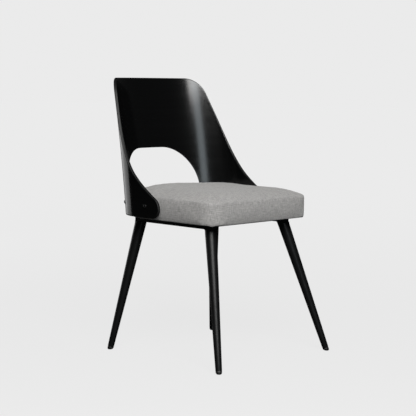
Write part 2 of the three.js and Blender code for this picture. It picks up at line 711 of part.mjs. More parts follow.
addPart('back_shell', backShell(), 'lacquered_ply');
addPart('seat_cover', seatCover(), 'fabric');
addPart('seat_foam', seatFoam(), 'foam');
addPart('seat_board', seatBoard(), 'raw_ply');
addPart('dust_cover', dustCover(), 'black_cloth');

for (const corner of corners) {
  const { place, out } = boltPlace(corner);
  addPart(`shell_bolt_${corner.name}`, shellBolt(), 'black_steel', standing(place, out));
  addPart(`mounting_block_${corner.name}`, drilledBlock(corner), 'raw_ply');
  addPart(`threaded_insert_${corner.name}`, insert(), 'zinc', blockFrame(corner));
  addPart(`block_screw_${corner.name}`, blockScrew(), 'zinc', screwFrame(corner));
  addPart(`leg_${corner.name}`, leg(corner), 'black_steel');
  addPart(`glide_${corner.name}`, glide(corner), 'black_plastic');
}

for (const { name, x, y } of seatBoltPlaces()) {
  addPart(`seat_bolt_${name}`, seatBolt(), 'zinc', at(x, y, railTop - RAIL_WALL));
  addPart(`tee_nut_${name}`, teeNut(), 'zinc', at(x, y, boardTop));
}

for (const [name, side] of Object.entries(SIDES)) {
  const x = (side * RAIL_SPAN) / 2;
  addPart(`side_rail_${name}`, sideRail(side), 'black_steel', at(x, 0, railMiddleZ));
  const ends = { front: [railFrontY, -1], rear: [railRearY, 1] };
  for (const [end, [y, direction]] of Object.entries(ends)) {
    const turn = new THREE.Matrix4().makeRotationX((-direction * Math.PI) / 2);
    addPart(`rail_cap_${end}_${name}`, railCap(), 'black_plastic', at(x, y, railMiddleZ).multiply(turn));
  }
}

addPart('cross_rail_front', crossRail(), 'black_steel', at(0, FRONT_LEG_Y + CROSS_RAIL_INSET, railMiddleZ));
addPart('cross_rail_rear', crossRail(), 'black_steel', at(0, REAR_LEG_Y - CROSS_RAIL_INSET, railMiddleZ));

// The origin is on the floor, under the middle of the whole chair's box.
chair.updateMatrixWorld(true);
const middle = new THREE.Box3().setFromObject(chair, true).getCenter(new THREE.Vector3());
chair.position.set(-middle.x, -middle.y, 0);

export default chair;
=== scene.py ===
# %% [markdown]
# # A dining chair: bent plywood shell, upholstered seat, splayed steel legs
# The real chair is made in four lots: a plywood blank is pressed into a shell, a foam pad is
# wrapped in cloth over a board, a steel frame is welded up, and bolts hold the lot together.
# The file follows that order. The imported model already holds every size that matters, so it is
# loaded first and never moved: each fine piece made here takes the place of a plain one, or
# gives it a finish.

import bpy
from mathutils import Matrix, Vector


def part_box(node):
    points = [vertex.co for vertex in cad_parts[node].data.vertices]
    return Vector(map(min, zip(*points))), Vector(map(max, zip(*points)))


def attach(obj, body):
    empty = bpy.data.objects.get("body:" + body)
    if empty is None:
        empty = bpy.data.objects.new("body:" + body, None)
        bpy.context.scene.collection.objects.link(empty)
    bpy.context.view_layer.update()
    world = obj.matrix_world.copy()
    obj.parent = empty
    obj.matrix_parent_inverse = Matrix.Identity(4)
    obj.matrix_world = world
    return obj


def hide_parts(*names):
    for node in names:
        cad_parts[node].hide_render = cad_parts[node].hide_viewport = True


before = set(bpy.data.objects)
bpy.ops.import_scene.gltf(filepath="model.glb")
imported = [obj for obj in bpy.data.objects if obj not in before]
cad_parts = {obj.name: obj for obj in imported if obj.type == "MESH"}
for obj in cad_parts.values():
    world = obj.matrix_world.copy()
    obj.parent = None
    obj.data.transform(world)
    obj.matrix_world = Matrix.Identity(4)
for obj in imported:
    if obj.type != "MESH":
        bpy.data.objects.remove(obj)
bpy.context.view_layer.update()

# %% Tools used all through
import math

import bmesh
import bpy
import numpy as np
from mathutils import Matrix, Vector, noise
from mathutils.kdtree import KDTree

MM = 0.001
BODY = "root"
CORNERS = ["front_left", "rear_left", "front_right", "rear_right"]
TOUCH = 0.3 * MM  # room left between pieces that touch
print(len(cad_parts), "pieces came with the chair")

# %% [markdown]
# ## Node maths written as Python
# Both the finishes and the bent shell are sums on node sockets. Placing Math nodes by hand hides
# the sum, so a small class wraps a socket and gives it the arithmetic signs. `1 - mask` then
# reads as it does on paper and adds one Math node.

# %% A socket with arithmetic signs
class Wire:
    """An output socket of a tree. Each sign that is used on it adds one Math node."""

    def __init__(self, tree, socket):
        self.tree, self.socket = tree, socket

    def maths(self, operation, *values):
        sockets = dict(enumerate(values))
        return self.tree.node("ShaderNodeMath", sockets, operation=operation)

    def __add__(self, other):
        return self.maths("ADD", self, other)

    def __radd__(self, other):
        return self.maths("ADD", other, self)

    def __sub__(self, other):
        return self.maths("SUBTRACT", self, other)

    def __rsub__(self, other):
        return self.maths("SUBTRACT", other, self)

    def __mul__(self, other):
        return self.maths("MULTIPLY", self, other)

    def __rmul__(self, other):
        return self.maths("MULTIPLY", other, self)

    def __truediv__(self, other):
        return self.maths("DIVIDE", self, other)

    def __rtruediv__(self, other):
        return self.maths("DIVIDE", other, self)

    def at_most(self, other):
        return self.maths("MINIMUM", self, other)

    def at_least(self, other):
        return self.maths("MAXIMUM", self, other)

    def above(self, other):
        return self.maths("GREATER_THAN", self, other)

    def sine(self):
        return self.maths("SINE", self)

    def cosine(self):
        return self.maths("COSINE", self)

    def size(self):
        return self.maths("ABSOLUTE", self)

    def sign(self):
        return self.maths("SIGN", self)


# %% One call that adds any node
class Tree:
    """A node tree. node() adds a node, sets it up, then fills or links its sockets."""

    def __init__(self, tree):
        self.tree = tree

    def node(self, kind, sockets=None, output=0, **settings):
        made = self.tree.nodes.new(kind)
        for name, value in settings.items():
            setattr(made, name, value)
        for name, value in (sockets or {}).items():
            self.feed(made.inputs[name], value)
        return Wire(self, made.outputs[output])

    def feed(self, socket, value):
        if isinstance(value, Wire):
            self.tree.links.new(value.socket, socket)
        else:
            socket.default_value = value

    def parts(self, vector):
        first = self.node("ShaderNodeSeparateXYZ", {0: vector})
        return [Wire(self, socket) for socket in first.socket.node.outputs]

    def vector(self, x=0.0, y=0.0, z=0.0):
        return self.node("ShaderNodeCombineXYZ", {0: x, 1: y, 2: z})

    def noise(self, vector, scale, detail=2.0, roughness=0.5):
        sockets = {"Vector": vector, "Scale": scale, "Detail": detail, "Roughness": roughness}
        return self.node("ShaderNodeTexNoise", sockets)

    def blend(self, amount, first, second):
        sockets = {"Factor": amount, "A": first, "B": second}
        made = self.tree.nodes.new("ShaderNodeMix")
        made.data_type = "RGBA"
        for socket in made.inputs:
            if socket.name in sockets and socket.type in ("RGBA", "VALUE") and socket.enabled:
                self.feed(socket, sockets[socket.name])
        return Wire(self, next(socket for socket in made.outputs if socket.enabled))


# %% [markdown]
# ## Finishes
# Each finish is one Principled shader. What is the same all over is set on the shader itself.
# What changes over the surface comes through nodes: colour, roughness and a little relief. One
# helper opens a material and hands back its tree, so that every finish is a few lines.

# %% Open a finish
def new_finish(name, roughness, **fixed):
    """A material whose shader has these fixed values, its tree and a call that feeds the shader."""
    material = bpy.data.materials.new(name)
    material.use_nodes = True
    tree = Tree(material.node_tree)
    shader = material.node_tree.nodes["Principled BSDF"]
    shader.inputs["Roughness"].default_value = roughness
    for socket, value in fixed.items():
        shader.inputs[socket.replace("_", " ")].default_value = value

    def feed(**sockets):
        for socket, value in sockets.items():
            tree.feed(shader.inputs[socket.replace("_", " ")], value)

    return material, tree, feed


def relief(tree, height, depth, strength=1.0):
    sockets = {"Height": height, "Distance": depth, "Strength": strength}
    return tree.node("ShaderNodeBump", sockets)


def grey(value, tint=0.0):
    """A grey, a little warmer with a positive tint and cooler with a negative one."""
    return (value * (1 + tint), value, value * (1 - tint), 1.0)


# %% [markdown]
# ### Black veneer
# The shell is faced with oak-like veneer, stained black and lacquered satin. Its grain runs
# round the shell, so the pattern follows the flat blank, kept as a UV map in metres, and not the
# space round the chair. Stretched noise gives the pores, and a wider noise bends them slightly.
# The edge shows the plies as faint lines, so it reads how deep in the sheet a point lies.

# %% Veneer finish
GRAIN_PITCH = 1.6 * MM
GRAIN_LENGTH = 120 * MM
SHELL_THICKNESS = 9 * MM
PLY = SHELL_THICKNESS / 7
FACE_DEPTH = 0.3 * MM  # deeper than this is the cut edge


def veneer():
    material, tree, feed = new_finish("black_veneer", 0.3, Specular_IOR_Level=0.4)
    blank = tree.node("ShaderNodeUVMap", uv_map="Blank")
    along, up, _ = tree.parts(blank)
    depth = tree.node("ShaderNodeAttribute", attribute_name="depth", output="Fac")
    drift = tree.noise(blank, 9.0, 2.0) * 0.006
    fibres = tree.noise(tree.vector(along / GRAIN_LENGTH, (up + drift) / GRAIN_PITCH), 1.0, 4.0, 0.62)
    bands = tree.noise(tree.vector(along * 1.6, (up + drift) / (9 * GRAIN_PITCH)), 1.0, 2.0)
    pores = tree.noise(tree.vector(along / (0.12 * GRAIN_LENGTH), up / (0.35 * GRAIN_PITCH)), 1.0, 2.0)
    open_pores = (pores - 0.6).at_least(0.0) * 3.0
    figure = (fibres * 0.6 + bands * 0.4).at_most(1.0)
    plies = ((depth * (2 * math.pi / PLY)).sine() * 0.5 + 0.5) * 0.35
    shade = (figure * 0.9 + plies).at_most(1.0)
    rim = depth.above(FACE_DEPTH) * (SHELL_THICKNESS - depth).above(FACE_DEPTH)
    feed(
        Base_Color=tree.blend(shade, grey(0.0010, -0.03), grey(0.0028, -0.05)),
        Roughness=0.09 + figure * 0.12 + open_pores * 0.08 + rim * 0.4,
        Normal=relief(tree, fibres * 0.5 + bands * 0.3 - open_pores * 0.6, 0.07 * MM, 0.6),
    )
    return material


# %% [markdown]
# ### Melange cloth
# The seat is covered in a plain weave of mixed light and dark grey yarn. Each yarn has its own
# shade along its length, and where warp passes over weft the warp shows. The threads are under a
# millimetre wide, so from across a room they blend, and longer thick places in the yarn, the
# slubs, carry the speckle. The pattern lies on a UV map in metres, drawn after the pad has its
# shape.

# %% Melange cloth finish
YARN = 0.95 * MM
YARN_RATE, SLUB_RATE, SLUB_WIDTH_RATE = 110.0, 55.0, 330.0  # changes for each metre


def melange(light=0.37, dark=0.15):
    material, tree, feed = new_finish("grey_melange", 0.93, Sheen_Weight=0.25, Sheen_Roughness=0.6,
                                      Specular_IOR_Level=0.2)
    cloth = tree.node("ShaderNodeUVMap", uv_map="Cloth")
    across, along, _ = tree.parts(cloth)
    warp_wave = (across * (math.pi / YARN)).sine()
    weft_wave = (along * (math.pi / YARN)).sine()
    over = (warp_wave * weft_wave).above(0.0)
    warp = tree.noise(tree.vector(across / YARN, along * YARN_RATE), 1.0, 3.0, 0.7)
    weft = tree.noise(tree.vector(across * YARN_RATE, along / YARN, 5.0), 1.0, 3.0, 0.7)
    yarn = warp * over + weft * (1 - over)
    slub_warp = tree.noise(
        tree.vector(across * SLUB_WIDTH_RATE, along * SLUB_RATE), 1.0, 2.0, 0.6)
    slub_weft = tree.noise(
        tree.vector(across * SLUB_RATE, along * SLUB_WIDTH_RATE, 9.0), 1.0, 2.0, 0.6)
    slubs = slub_warp * 0.5 + slub_weft * 0.5
    patches = tree.noise(cloth, 26.0, 2.0)
    fleck = (yarn - 0.5) * 1.3 + (slubs - 0.5) * 2.1 + (patches - 0.5) * 0.25 + 0.5
    crowns = (warp_wave * weft_wave).size()
    feed(
        Base_Color=tree.blend(fleck.at_least(0.0).at_most(1.0), grey(dark, 0.01), grey(light, 0.025)),
        Roughness=0.88 + slubs * 0.1,
        Normal=relief(tree, crowns * 0.4 + yarn * 0.5 + slubs * 1.2, 0.5 * MM, 0.8),
    )
    return material


# %% [markdown]
# ### Powder-coated steel and moulded plastic
# Powder coat melts into a satin skin with a fine orange peel and a faint change of gloss. The
# glides and rail ends are plastic from a spark-eroded mould: duller, with a fine even grain, and
# scuffed where they meet the floor.

# %% Steel and plastic finishes
def powder_coat():
    material, tree, feed = new_finish("black_powder_coat", 0.4, Specular_IOR_Level=0.2)
    place = tree.node("ShaderNodeTexCoord", output="Object")
    peel = tree.noise(place, 900.0, 2.0)
    cloud = tree.noise(place, 38.0, 3.0)
    feed(
        Base_Color=tree.blend(cloud, grey(0.0032, -0.04), grey(0.0055, -0.04)),
        Roughness=0.31 + cloud * 0.08 + peel * 0.04,
        Normal=relief(tree, peel, 0.006 * MM, 0.3),
    )
    return material


def moulded_plastic():
    material, tree, feed = new_finish("black_moulded_plastic", 0.5)
    place = tree.node("ShaderNodeTexCoord", output="Object")
    height = tree.parts(place)[2]
    grain = tree.noise(place, 2200.0, 2.0)
    scuff = (1 - height / (4 * MM)).at_least(0.0) * tree.noise(place, 500.0, 3.0)
    feed(
        Base_Color=tree.blend(scuff, grey(0.007), grey(0.04)),
        Roughness=0.42 + grain * 0.16 + scuff * 0.2,
        Normal=relief(tree, grain, 0.04 * MM, 0.5),
    )
    return material


# %% [markdown]
# ### Inner materials
# The underside shows black non-woven cloth, pressed with a dot pattern. Inside are plywood, with
# its plies seen on edge, and zinc-plated hardware with a fine brushed cast.

# %% Cloth, plywood and zinc finishes
DOT_RATE = 2600.0  # turns of the dots' waves, in radians for each metre
INNER_PLY = 2.4 * MM
PLY_DARK, PLY_LIGHT = (0.42, 0.24, 0.11, 1), (0.68, 0.5, 0.3, 1)
ZINC_DARK, ZINC_LIGHT = (0.42, 0.43, 0.46, 1), (0.62, 0.62, 0.6, 1)


def dust_cloth():
    material, tree, feed = new_finish("black_dust_cloth", 0.95, Specular_IOR_Level=0.25)
    across, along, _ = tree.parts(tree.node("ShaderNodeUVMap", uv_map="Cloth"))
    dots = (across * DOT_RATE).sine() * (along * DOT_RATE).sine()
    fibres = tree.noise(tree.vector(across * 700.0, along * 260.0), 1.0, 4.0, 0.7)
    feed(
        Base_Color=tree.blend(fibres, grey(0.008), grey(0.032)),
        Roughness=0.86 + fibres * 0.12,
        Normal=relief(tree, dots.at_least(0.2) * 0.4 + fibres, 0.2 * MM, 0.7),
    )
    return material


def raw_plywood():
    material, tree, feed = new_finish("raw_plywood", 0.75, Specular_IOR_Level=0.3)
    across, along, up = tree.parts(tree.node("ShaderNodeTexCoord", output="Object"))
    plies = (up * (2 * math.pi / INNER_PLY)).sine() * 0.5 + 0.5
    fibres = tree.noise(tree.vector(across * 14.0, along * 520.0, up * 520.0), 1.0, 4.0, 0.6)
    feed(
        Base_Color=tree.blend((fibres * 0.7 + plies * 0.3).at_most(1.0), PLY_DARK, PLY_LIGHT),
        Roughness=0.66 + fibres * 0.2,
        Normal=relief(tree, fibres + plies * 0.3, 0.12 * MM, 0.6),
    )
    return material


def zinc_plate():
    material, tree, feed = new_finish("zinc_plate", 0.35, Metallic=1.0)
    place = tree.node("ShaderNodeTexCoord", output="Object")
    cast = tree.noise(place, 260.0, 4.0, 0.6)
    feed(
        Base_Color=tree.blend(cast, ZINC_DARK, ZINC_LIGHT),
        Roughness=0.26 + cast * 0.2,
        Normal=relief(tree, cast, 0.03 * MM, 0.4),
    )
    return material


FINISH = {
    "lacquered_ply": veneer(), "fabric": melange(), "black_steel": powder_coat(),
    "black_plastic": moulded_plastic(), "black_cloth": dust_cloth(), "raw_ply": raw_plywood(),
    "zinc": zinc_plate(),
}
print(len(FINISH), "finishes:", ", ".join(FINISH))


# %% [markdown]
# ## Turning mesh data into pieces
# Every new piece goes through the same last steps: a plain mesh at the origin, smooth shading, the
# finish that its slot names and a body to ride on. One function does that, so no piece can miss a
# step.

# %% Make and settle a piece
def new_object(name, mesh):
    piece = bpy.data.objects.new(name, mesh)
    bpy.context.scene.collection.objects.link(piece)
    return piece


def from_bmesh(name, form):
    mesh = bpy.data.meshes.new(name)
    form.to_mesh(mesh)
    form.free()
    return new_object(name, mesh)


def baked(piece):
    """The piece with its modifiers worked out for good, as a plain mesh."""
    depsgraph = bpy.context.evaluated_depsgraph_get()
    mesh = bpy.data.meshes.new_from_object(piece.evaluated_get(depsgraph))
    mesh.name = piece.name
    piece.modifiers.clear()
    old, piece.data = piece.data, mesh
    bpy.data.meshes.remove(old)
    return piece


def settle(piece, slot, replaces=(), crease=50.0):
    """Gives a finished piece its shading, the finish that its slot names and a body, and hides what it
    stands for.
    """
    piece.data.shade_smooth()
    piece.data.set_sharp_from_angle(angle=math.radians(crease))
    piece.data.materials.clear()
    piece.data.materials.append(FINISH[slot])
    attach(piece, BODY)
    if replaces:
        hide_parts(*replaces)
    return piece


# %% [markdown]
# ## The pressed shell
# A shell like this starts as a flat blank: veneers glued in a stack and cut to an outline with a
# D-shaped hole. A press then bends it into a wide arc at the back, a rounded corner at each side
# and two straight wings, and leans it back, more at the top than at the bottom.
# The mesh is made the same way. The blank is drawn flat, with its true outline and eased edges,
# and Geometry Nodes press it with the rule that every point at a distance along the sheet moves to
# that distance round the section. Bending after cutting keeps the outline exact and the grain
# following the sheet.

# %% Sizes of the shell
SHELL_WIDTH, SHELL_TOP, SHELL_BOTTOM = 478 * MM, 813 * MM, 411 * MM
SIDE_END_Y, CORNER_RADIUS, SHELL_REACH = 111 * MM, 103 * MM, 166.5 * MM
LEAN_LOW, LEAN_HIGH = math.tan(math.radians(6.3)), math.tan(math.radians(11.8))
LEAN_LEVEL = 500 * MM
TOP_HALF_WIDTH, TOP_CORNER, WING_TIP_Y, WING_TIP_RADIUS = 206 * MM, 70 * MM, 16 * MM, 31.5 * MM
WING_ANGLE, WING_TIP_TURN, WING_STRAIGHT, WING_PULLS = 70.5, 56, 102 * MM, (0.455, 0.425)
HOLE_TOP, HOLE_WAIST, HOLE_BOTTOM = 597 * MM, 460 * MM, 448 * MM
HOLE_HALF_WIDTH, HOLE_HALF_FLAT, HOLE_FOOT = 173 * MM, 50 * MM, 40 * MM
EASED = 2.0 * MM  # radius of the sanded edges

corner_x = SHELL_WIDTH / 2 - CORNER_RADIUS
back_radius = (corner_x**2 + SHELL_REACH**2 - CORNER_RADIUS**2) / (2 * (SHELL_REACH - CORNER_RADIUS))
back_turn = math.asin(corner_x / (back_radius - CORNER_RADIUS))
back_length = back_radius * back_turn
corner_length = CORNER_RADIUS * (math.pi / 2 - back_turn)
back_centre_y = SIDE_END_Y + SHELL_REACH - back_radius
tip_u = back_length + corner_length + SIDE_END_Y - WING_TIP_Y
lean_growth = (LEAN_HIGH - LEAN_LOW) / (SHELL_TOP - SHELL_BOTTOM)
print(f"back radius {back_radius / MM:.1f} mm, half of the blank {tip_u / MM:.1f} mm")


def slope(z):
    return LEAN_LOW + lean_growth * (z - SHELL_BOTTOM)


def lean(z):
    return (slope(z) + slope(LEAN_LEVEL)) / 2 * (z - LEAN_LEVEL)


# The middle of the back at the top is the rearmost point, so it ties the rule to the chair.
set_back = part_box("back_shell")[1].y - (back_centre_y + back_radius + lean(SHELL_TOP))
print(f"the rule's middle line lies at y = {set_back / MM:.1f} mm")


# %% Outline of the blank
def arc(centre, radius, start, end, steps):
    """Points on an arc between two angles in degrees. The radius may be a pair, for an ellipse."""
    across, up = radius if hasattr(radius, "__len__") else (radius, radius)
    turns = np.radians(np.linspace(start, end, steps + 1))
    return np.column_stack([centre[0] + across * np.cos(turns), centre[1] + up * np.sin(turns)])


def straight(start, end, steps):
    return np.linspace(start, end, steps + 1)


def bezier(a, b, c, d, steps):
    t = np.linspace(0, 1, steps + 1)[:, None]
    return (1 - t) ** 3 * a + 3 * (1 - t) ** 2 * t * b + 3 * (1 - t) * t**2 * c + t**3 * d


def unit(degrees):
    return np.array([math.cos(math.radians(degrees)), math.sin(math.radians(degrees))])


def chained(*runs):
    """One list of points from runs that each begin where the last one ended."""
    return np.concatenate([runs[0], *[run[1:] for run in runs[1:]]])


def half_outline():
    """The right half of the outer edge, from the middle of the top down to the middle of the foot."""
    fillet = TOP_CORNER * math.tan(math.radians(WING_ANGLE / 2))
    down = unit(-WING_ANGLE)
    apex = np.array([TOP_HALF_WIDTH, SHELL_TOP])
    fall = apex + down * fillet
    fall_end = fall + down * WING_STRAIGHT
    lobe = np.array([tip_u - WING_TIP_RADIUS, SHELL_BOTTOM + WING_TIP_RADIUS])
    lobe_start = lobe + unit(WING_TIP_TURN) * WING_TIP_RADIUS
    span = np.linalg.norm(lobe_start - fall_end)
    pulls = [fall_end + down * span * WING_PULLS[0],
             lobe_start - unit(WING_TIP_TURN - 90) * span * WING_PULLS[1]]
    rounding = apex - np.array([fillet, TOP_CORNER])
    return chained(
        straight([0, SHELL_TOP], [TOP_HALF_WIDTH - fillet, SHELL_TOP], 40),
        arc(rounding, TOP_CORNER, 90, 90 - WING_ANGLE, 24),
        straight(fall, fall_end, 30),
        bezier(fall_end, *pulls, lobe_start, 56),
        arc(lobe, WING_TIP_RADIUS, WING_TIP_TURN, -90, 30),
        straight([lobe[0], SHELL_BOTTOM], [0, SHELL_BOTTOM], 80),
    )


def half_hole():
    """The right half of the cut-out, from the middle of its foot up to the middle of its top."""
    foot = HOLE_HALF_WIDTH - HOLE_FOOT
    wide, tall = HOLE_HALF_WIDTH - HOLE_HALF_FLAT, HOLE_TOP - HOLE_WAIST
    return chained(
        straight([0, HOLE_BOTTOM], [foot, HOLE_BOTTOM], 30),
        arc([foot, HOLE_WAIST], (HOLE_FOOT, HOLE_WAIST - HOLE_BOTTOM), -90, 0, 12),
        arc([HOLE_HALF_FLAT, HOLE_WAIST], (wide, tall), 0, 90, 44),
        straight([HOLE_HALF_FLAT, HOLE_TOP], [0, HOLE_TOP], 12),
    )


# %% [markdown]
# The blank is a solid before it is bent. Rings of the outline run from the outer face round the
# eased edge to the inner face, and four large polygons close it. Cutting the whole blank along
# a grid then gives it the vertices that it needs to bend, with no cracks between faces and edges.

# %% Cut the flat blank
GRID_ALONG, GRID_UP = 5 * MM, 13 * MM
EASE_STEPS = 4
CUT_SNAP = 0.1 * MM  # a cut that passes this near a point goes through it


def moved_in(loop, inset):
    """A closed loop moved towards the wood, which is on its right as its points run."""
    before, after = np.roll(loop, 1, 0), np.roll(loop, -1, 0)
    way = after - before
    way /= np.linalg.norm(way, axis=1)[:, None]
    return loop + np.column_stack([way[:, 1], -way[:, 0]]) * inset


def eased_profile(thickness, eased):
    """Pairs of (inset, depth) from one face to the other, with a quarter round at each edge."""
    turns = np.linspace(0, math.pi / 2, EASE_STEPS + 1)
    first = [(eased * (1 - math.sin(t)), eased * (1 - math.cos(t))) for t in turns]
    hold = [(eased * 1.8, 0.0)]
    last = [(inset, thickness - depth) for inset, depth in reversed(hold + first)]
    return hold + first + [(0.0, thickness / 2)] + last


def flat_blank():
    half, hole = half_outline(), half_hole()
    mirror = np.array([-1, 1])
    outer = np.concatenate([half, (half[1:-1] * mirror)[::-1]])
    inner = np.concatenate([hole, (hole[1:-1] * mirror)[::-1]])
    form = bmesh.new()
    rings = []
    for inset, depth in eased_profile(SHELL_THICKNESS, EASED):
        rings.append([[form.verts.new((u, depth, z)) for u, z in moved_in(loop, inset)]
                      for loop in (outer, inner)])
    for above, below in zip(rings, rings[1:]):
        for top, low in zip(above, below):
            for i in range(len(top)):
                j = (i + 1) % len(top)
                form.faces.new((top[i], top[j], low[j], low[i]))
    for edge_ring, hole_ring in (rings[0], rings[-1]):
        mid_edge, mid_hole = len(half) - 1, len(hole) - 1
        form.faces.new(edge_ring[: mid_edge + 1] + hole_ring[: mid_hole + 1])
        form.faces.new(edge_ring[mid_edge:] + edge_ring[:1] + hole_ring[mid_hole:] + hole_ring[:1])
    return form


def cut_along(form, axis, step, count):
    """Cuts a form at even steps along an axis, this many times on each side of its middle."""
    way = Vector([float(i == axis) for i in range(3)])
    for k in range(-count, count + 1):
        geometry = form.verts[:] + form.edges[:] + form.faces[:]
        bmesh.ops.bisect_plane(
            form, geom=geometry, dist=CUT_SNAP, plane_co=way * (k * step), plane_no=way)


def gridded(form):
    """Cuts the blank along evenly spaced lines, both ways."""
    for axis, step, reach in ((0, GRID_ALONG, tip_u), (2, GRID_UP, SHELL_TOP)):
        cut_along(form, axis, step, int(reach / step))
    bmesh.ops.recalc_face_normals(form, faces=form.faces[:])
    return form


def keep_blank_places(form):
    """Writes each point's place on the blank to a UV map, and its depth to an attribute."""
    uv = form.loops.layers.uv.new("Blank")
    depth = form.verts.layers.float.new("depth")
    for vert in form.verts:
        vert[depth] = vert.co.y
    for face in form.faces:
        for loop in face.loops:
            loop[uv].uv = (loop.vert.co.x, loop.vert.co.z)
    return form


blank = from_bmesh("shell", keep_blank_places(gridded(flat_blank())))
print("blank has", len(blank.data.polygons), "faces")

# %% [markdown]
# The press is a Geometry Nodes tree. Its inputs are the sizes of the press form. A point's
# distance along the sheet turns first on the wide arc, then on the corner, and what is left runs
# straight. Depth moves it inwards along the normal, and its height adds the lean.

# %% Press the blank
def group_input(tree, name, value):
    """A named input with its default, and its identifier."""
    socket = tree.interface.new_socket(name, in_out="INPUT", socket_type="NodeSocketFloat")
    socket.default_value = value
    return socket.identifier


def open_group(name, sizes):
    """A geometry tree with a geometry input, named sizes, and their wires."""
    group = bpy.data.node_groups.new(name, "GeometryNodeTree")
    group.interface.new_socket("Geometry", in_out="INPUT", socket_type="NodeSocketGeometry")
    group.interface.new_socket("Geometry", in_out="OUTPUT", socket_type="NodeSocketGeometry")
    identifiers = {size: group_input(group, size, value) for size, value in sizes.items()}
    tree = Tree(group)
    entry = group.nodes.new("NodeGroupInput")
    wires = {socket.name: Wire(tree, socket) for socket in entry.outputs if socket.name}
    return tree, wires, identifiers


def close_group(tree, geometry, finish):
    """Ends a tree as every tree here ends: instances made real, and a finish set."""
    real = tree.node("GeometryNodeRealizeInstances", {0: geometry})
    dressed = tree.node("GeometryNodeSetMaterial", {"Geometry": real, "Material": finish})
    exit_node = tree.tree.nodes.new("NodeGroupOutput")
    tree.tree.links.new(dressed.socket, exit_node.inputs[0])


def run_group(piece, tree, identifiers, sizes):
    """Runs a tree on a piece with these sizes, and keeps the plain mesh."""
    modifier = piece.modifiers.new(tree.tree.name, "NODES")
    modifier.node_group = tree.tree
    for size, value in sizes.items():
        modifier[identifiers[size]] = value
    return baked(piece)


PRESS = {
    "Back radius": back_radius, "Back length": back_length, "Corner radius": CORNER_RADIUS,
    "Corner length": corner_length, "Back centre": back_centre_y + set_back,
    "Foot level": SHELL_BOTTOM, "Lean level": LEAN_LEVEL, "Lean at foot": LEAN_LOW,
    "Lean growth": lean_growth,
}


def shell_press():
    tree, size, identifiers = open_group("shell_press", PRESS)
    along, depth, height = tree.parts(tree.node("GeometryNodeInputPosition"))
    run = along.size()
    on_back = run.at_most(size["Back length"])
    on_corner = (run - size["Back length"]).at_least(0.0).at_most(size["Corner length"])
    on_side = run - on_back - on_corner
    first_turn = on_back / size["Back radius"]
    turn = first_turn + on_corner / size["Corner radius"]
    corner_rise = turn.sine() - first_turn.sine()
    corner_fall = turn.cosine() - first_turn.cosine()
    x = size["Back radius"] * first_turn.sine() + size["Corner radius"] * corner_rise
    y = size["Back radius"] * first_turn.cosine() + size["Corner radius"] * corner_fall - on_side
    foot_rise = height + size["Lean level"] - 2 * size["Foot level"]
    mean_slope = size["Lean at foot"] + size["Lean growth"] * foot_rise * 0.5
    back = mean_slope * (height - size["Lean level"])
    place = tree.vector(
        (x - turn.sine() * depth) * along.sign(),
        y - turn.cosine() * depth + size["Back centre"] + back,
        height,
    )
    pressed = tree.node("GeometryNodeSetPosition", {"Geometry": size["Geometry"], "Position": place})
    close_group(tree, pressed, FINISH["lacquered_ply"])
    return tree, identifiers


shell = run_group(blank, *shell_press(), PRESS)


def facing_out(piece):
    """Turns a closed piece's faces outwards, by the sign of its volume."""
    form = bmesh.new()
    form.from_mesh(piece.data)
    if form.calc_volume(signed=True) < 0:
        bmesh.ops.reverse_faces(form, faces=form.faces[:])
    form.to_mesh(piece.data)
    form.free()
    return piece


settle(facing_out(shell), "lacquered_ply", ["back_shell"], crease=80)
print("pressed shell has", len(shell.data.polygons), "faces")


# %% [markdown]
# ## The seat pad
# On the real chair a slab of foam lies on a board, and cloth is pulled over it and stapled
# underneath. The foam pushes the cloth out into a full, slightly crowned shape with a soft edge
# where the top meets the sides. A modelled block would look like a block, so the pad starts as a
# slightly small one and cloth simulation swells it: pressure pushes out, the stapled underside
# holds still, and the cloth's own stiffness rounds off the rest.

# %% Plan of the seat
seat_low, seat_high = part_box("seat_cover")
SEAT_EDGE = SHELL_THICKNESS + 8 * MM  # from the shell's outer face to the cloth
SEAT_CREASE = 474 * MM  # of the stuffed pad, a little above the cut foam's
SEAT_FRONT_RADIUS = 56 * MM
AROUND_STEPS, FRONT_STEPS = 168, 50


def section(run, depth):
    """A point of the shell's section at its foot, and the way out of it."""
    side = math.copysign(1, run)
    first = min(abs(run), back_length) / back_radius
    bend = min(max(abs(run) - back_length, 0), corner_length) / CORNER_RADIUS
    rest = max(abs(run) - back_length - corner_length, 0)
    turn = first + bend
    x = back_radius * math.sin(first) + CORNER_RADIUS * (math.sin(turn) - math.sin(first))
    y = back_radius * math.cos(first) + CORNER_RADIUS * (math.cos(turn) - math.cos(first)) - rest
    y += back_centre_y + set_back + lean(SHELL_BOTTOM)
    return np.array([side * (x - math.sin(turn) * depth), y - math.cos(turn) * depth])


def seat_outline(inset):
    """The seat's plan, moved in by an inset, anticlockwise from the front of its left side."""
    depth = SEAT_EDGE + inset
    rounding = max(SEAT_FRONT_RADIUS - inset, 1 * MM)
    front_y = seat_low.y + inset
    side_x = section(tip_u, depth)[0]
    side_length = section(back_length + corner_length, depth)[1] - front_y - rounding
    reach = back_length + corner_length + side_length
    runs = np.linspace(reach, -reach, AROUND_STEPS + 1)
    around = np.array([section(run, depth) for run in runs])
    left = arc([-side_x + rounding, front_y + rounding], rounding, 180, 270, 14)
    right = arc([side_x - rounding, front_y + rounding], rounding, 270, 360, 14)
    front = straight(left[-1], right[0], FRONT_STEPS)
    return np.concatenate([around, left[1:], front[1:-1], right[:-1]])


plan = seat_outline(0)
plan_middle = (plan.min(0) + plan.max(0)) / 2
print("seat plan", np.round((plan.max(0) - plan.min(0)) / MM, 1), "mm")

